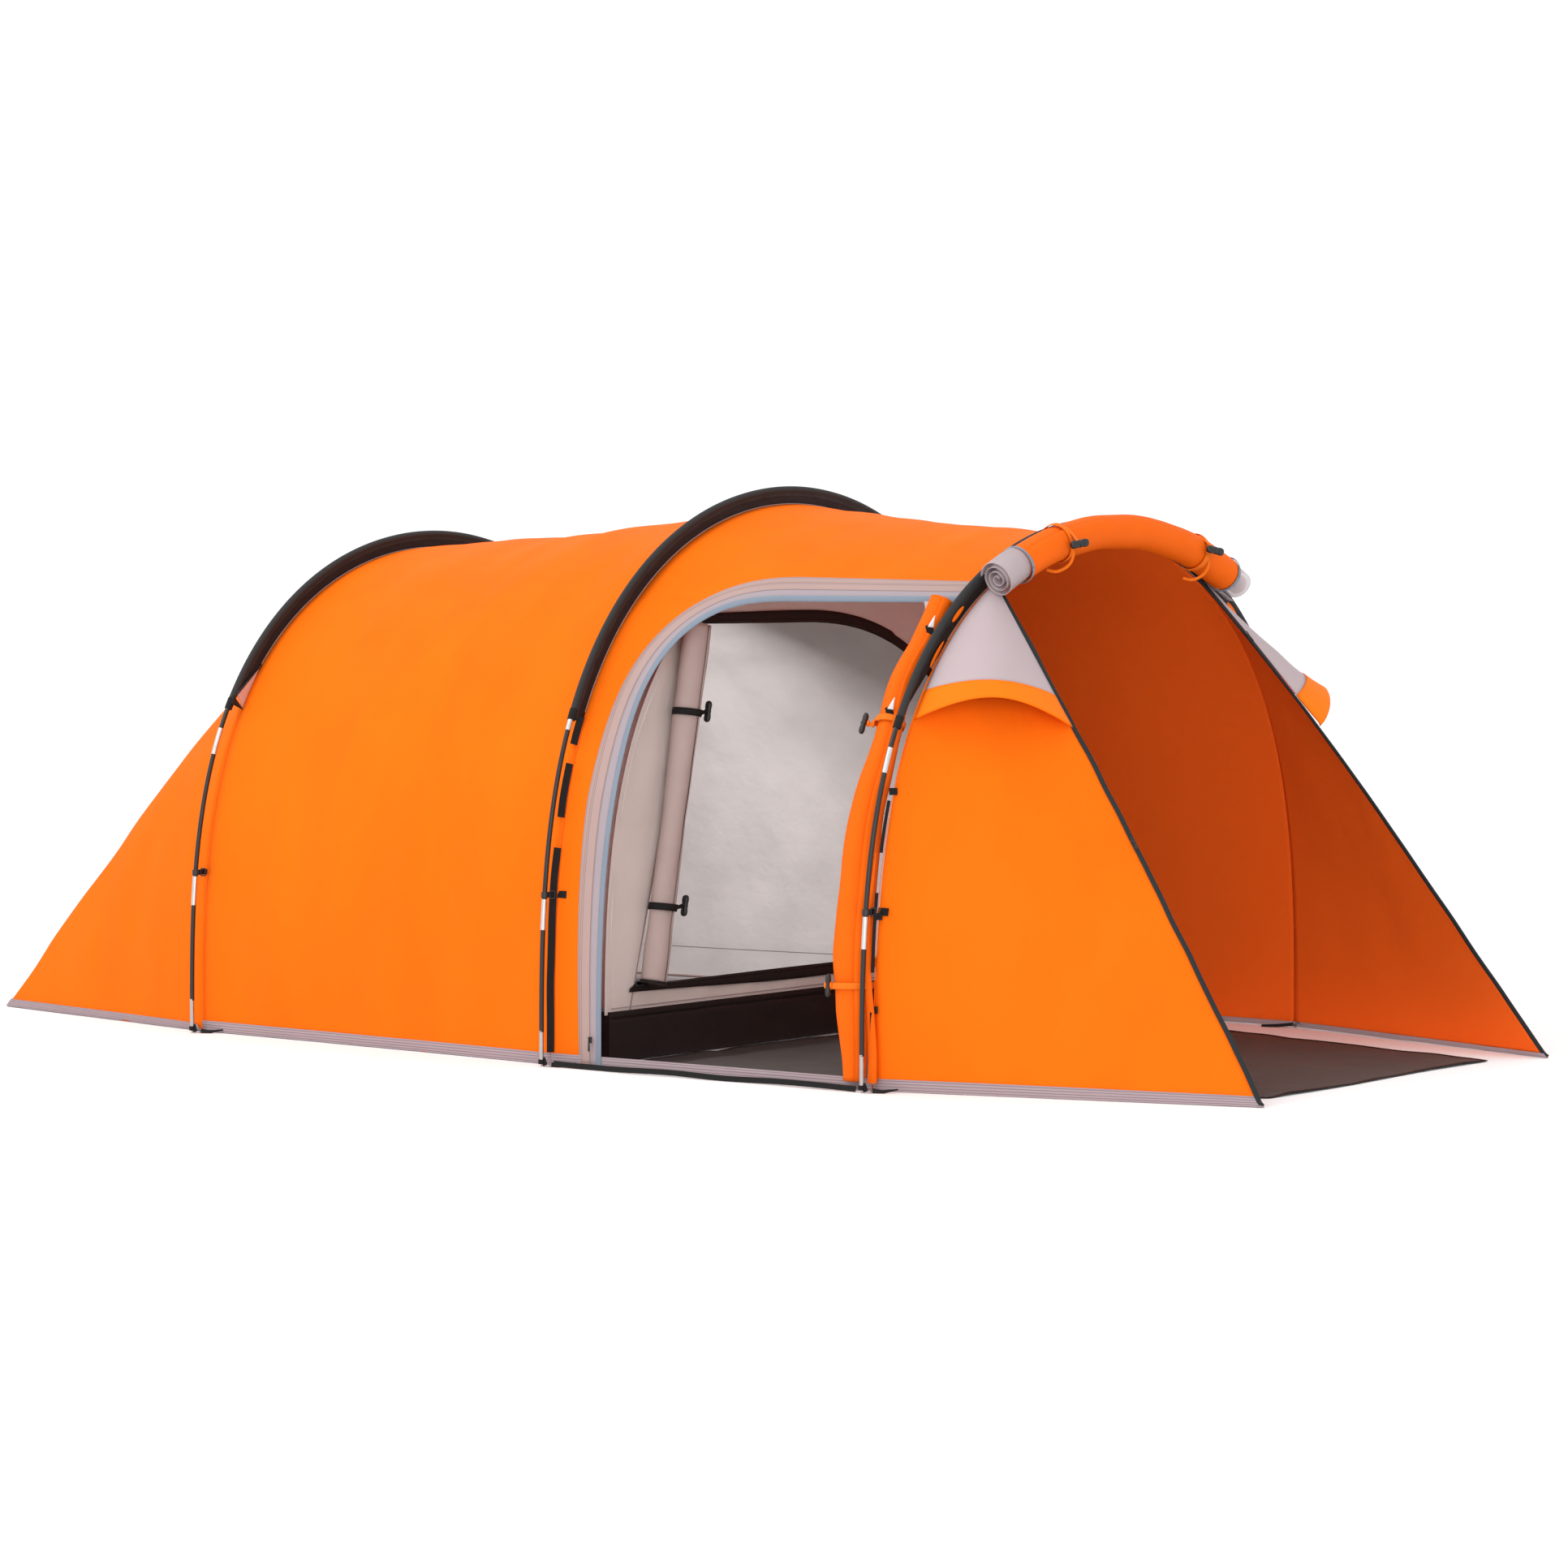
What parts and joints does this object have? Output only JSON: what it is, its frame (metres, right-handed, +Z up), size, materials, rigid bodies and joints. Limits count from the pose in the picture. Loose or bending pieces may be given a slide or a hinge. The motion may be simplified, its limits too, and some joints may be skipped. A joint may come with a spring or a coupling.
{
  "type": "tunnel tent",
  "caption": "Hooped tunnel tent with a sloping rear end, an inner bedroom, a porch with a side door and an open front between two wings, both doors rolled up.",
  "frame": {"origin": "on the underside of the bedroom floor, at ground level, on the tent's centre plane and halfway between the rear hem and the wing tips", "axes": "+X towards the porch and front door, +Z up, so the side door is on the -Y side"},
  "size_m": [4.3371, 2.2018, 1.5385],
  "materials": {
    "fly_orange": "matte",
    "hood_pale": "matte",
    "sleeve": "matte",
    "inner_fabric": "matte",
    "floor_black": "satin",
    "groundsheet_brown": "satin",
    "webbing": "matte",
    "pole": "satin",
    "steel": "satin",
    "black_plastic": "satin",
    "zip_metal": "satin"
  },
  "bodies": {
    "root": {"pole_rear": "pole", "pole_mid": "pole", "pole_front": "pole", "sleeve_rear": "sleeve", "sleeve_mid": "sleeve", "sleeve_front": "sleeve", "foot_tube_rear_near": "steel", "foot_tube_rear_far": "steel", "foot_tube_mid_near": "steel", "foot_tube_mid_far": "steel", "foot_tube_front_near": "steel", "foot_tube_front_far": "steel", "pole_clip_rear_near": "black_plastic", "pole_clip_rear_far": "black_plastic", "pole_clip_mid_near": "black_plastic", "pole_clip_mid_far": "black_plastic", "pole_clip_front_near": "black_plastic", "pole_clip_front_far": "black_plastic", "fly_rear": "fly_orange", "fly_bedroom": "fly_orange", "fly_porch": "fly_orange", "fly_wing_near": "fly_orange", "fly_wing_far": "fly_orange", "awning_roll": "fly_orange", "side_door_roll": "fly_orange", "strap_awning_near": "fly_orange", "strap_awning_far": "fly_orange", "strap_side_upper": "fly_orange", "strap_side_lower": "fly_orange", "vent_hood_near": "hood_pale", "vent_hood_far": "hood_pale", "inner_tent": "inner_fabric", "inner_front_wall": "inner_fabric", "inner_door_roll": "inner_fabric", "strap_inner_upper": "webbing", "strap_inner_lower": "webbing", "ground_strap_near": "webbing", "ground_strap_far": "webbing", "tub_floor": "floor_black", "porch_groundsheet": "groundsheet_brown"},
    "toggle_awning_near": {"toggle_awning_near": "black_plastic"},
    "toggle_awning_far": {"toggle_awning_far": "black_plastic"},
    "toggle_side_upper": {"toggle_side_upper": "black_plastic"},
    "toggle_side_lower": {"toggle_side_lower": "black_plastic"},
    "toggle_inner_upper": {"toggle_inner_upper": "black_plastic"},
    "toggle_inner_lower": {"toggle_inner_lower": "black_plastic"},
    "zip_slider_front_near": {"zip_slider_front_near": "zip_metal"},
    "zip_pull_front_near": {"zip_pull_front_near": "black_plastic"},
    "zip_slider_front_far": {"zip_slider_front_far": "zip_metal"},
    "zip_pull_front_far": {"zip_pull_front_far": "black_plastic"},
    "zip_slider_side_door": {"zip_slider_side_door": "zip_metal"},
    "zip_pull_side_door": {"zip_pull_side_door": "black_plastic"},
    "zip_slider_inner_door": {"zip_slider_inner_door": "zip_metal"},
    "zip_pull_inner_door": {"zip_pull_inner_door": "black_plastic"},
    "peg_ring_rear_near": {"peg_ring_rear_near": "steel"},
    "peg_ring_rear_far": {"peg_ring_rear_far": "steel"},
    "peg_ring_mid_near": {"peg_ring_mid_near": "steel"},
    "peg_ring_mid_far": {"peg_ring_mid_far": "steel"},
    "peg_ring_front_near": {"peg_ring_front_near": "steel"},
    "peg_ring_front_far": {"peg_ring_front_far": "steel"}
  },
  "joints": [
    {"name": "toggle_awning_near_turn", "type": "hinge", "parent": "root", "child": "toggle_awning_near", "pos_m": [1.3127, -0.283, 1.37697], "axis": [1, 0, 0], "range_deg": [-90, 90]},
    {"name": "toggle_awning_far_turn", "type": "hinge", "parent": "root", "child": "toggle_awning_far", "pos_m": [1.3127, 0.371, 1.35971], "axis": [1, 0, 0], "range_deg": [-90, 90]},
    {"name": "toggle_side_upper_turn", "type": "hinge", "parent": "root", "child": "toggle_side_upper", "pos_m": [1.08298, -0.89665, 0.92026], "axis": [-0.886, -0.4093, 0.218], "range_deg": [-90, 90]},
    {"name": "toggle_side_lower_turn", "type": "hinge", "parent": "root", "child": "toggle_side_lower", "pos_m": [1.08478, -1.04832, 0.26336], "axis": [-0.8603, -0.5094, 0.0195], "range_deg": [-90, 90]},
    {"name": "toggle_inner_upper_turn", "type": "hinge", "parent": "root", "child": "toggle_inner_upper", "pos_m": [0.32426, -0.58374, 0.92643], "axis": [0.2467, 0.9516, -0.1834], "range_deg": [-90, 90]},
    {"name": "toggle_inner_lower_turn", "type": "hinge", "parent": "root", "child": "toggle_inner_lower", "pos_m": [0.32426, -0.68355, 0.40843], "axis": [0.2467, 0.9516, -0.1834], "range_deg": [-90, 90]},
    {"name": "zip_slider_front_near_slide", "type": "slide", "parent": "root", "child": "zip_slider_front_near", "axis": [-0.5952, 0.1426, 0.7908], "range_m": [-0.66, 0.62]},
    {"name": "zip_pull_front_near_turn", "type": "hinge", "parent": "zip_slider_front_near", "child": "zip_pull_front_near", "pos_m": [1.71189, -0.61146, 0.63533], "axis": [-0.6308, -0.6927, -0.3498], "range_deg": [0, 150]},
    {"name": "zip_slider_front_far_slide", "type": "slide", "parent": "root", "child": "zip_slider_front_far", "axis": [-0.5952, -0.1426, 0.7908], "range_m": [-1.29, 0]},
    {"name": "zip_pull_front_far_turn", "type": "hinge", "parent": "zip_slider_front_far", "child": "zip_pull_front_far", "pos_m": [1.33868, 0.51846, 1.13506], "axis": [0.451, -0.8738, 0.1818], "range_deg": [0, 150]},
    {"name": "zip_slider_side_door_slide", "type": "slide", "parent": "root", "child": "zip_slider_side_door", "axis": [0, 0, 1], "range_m": [0, 0.25]},
    {"name": "zip_pull_side_door_turn", "type": "hinge", "parent": "zip_slider_side_door", "child": "zip_pull_side_door", "pos_m": [0.3, -1.0548, 0.075], "axis": [-1, 0, 0], "range_deg": [0, 150]},
    {"name": "zip_slider_inner_door_slide", "type": "slide", "parent": "root", "child": "zip_slider_inner_door", "axis": [0, 1, 0], "range_m": [-0.8, 0.25]},
    {"name": "zip_pull_inner_door_turn", "type": "hinge", "parent": "zip_slider_inner_door", "child": "zip_pull_inner_door", "pos_m": [0.2803, 0.1, 0.188], "axis": [0, -1, 0], "range_deg": [0, 150]},
    {"name": "peg_ring_rear_near_turn", "type": "hinge", "parent": "root", "child": "peg_ring_rear_near", "pos_m": [-1.1755, -1.03, 0.0018], "axis": [0, -1, 0], "range_deg": [0, 90]},
    {"name": "peg_ring_rear_far_turn", "type": "hinge", "parent": "root", "child": "peg_ring_rear_far", "pos_m": [-1.1755, 1.03, 0.0018], "axis": [0, -1, 0], "range_deg": [0, 90]},
    {"name": "peg_ring_mid_near_turn", "type": "hinge", "parent": "root", "child": "peg_ring_mid_near", "pos_m": [0.1755, -1.088, 0.0018], "axis": [0, -1, 0], "range_deg": [0, 90]},
    {"name": "peg_ring_mid_far_turn", "type": "hinge", "parent": "root", "child": "peg_ring_mid_far", "pos_m": [0.1755, 1.088, 0.0018], "axis": [0, -1, 0], "range_deg": [0, 90]},
    {"name": "peg_ring_front_near_turn", "type": "hinge", "parent": "root", "child": "peg_ring_front_near", "pos_m": [1.2055, -1.054, 0.0018], "axis": [0, -1, 0], "range_deg": [0, 90]},
    {"name": "peg_ring_front_far_turn", "type": "hinge", "parent": "root", "child": "peg_ring_front_far", "pos_m": [1.2055, 1.054, 0.0018], "axis": [0, -1, 0], "range_deg": [0, 90]}
  ]
}
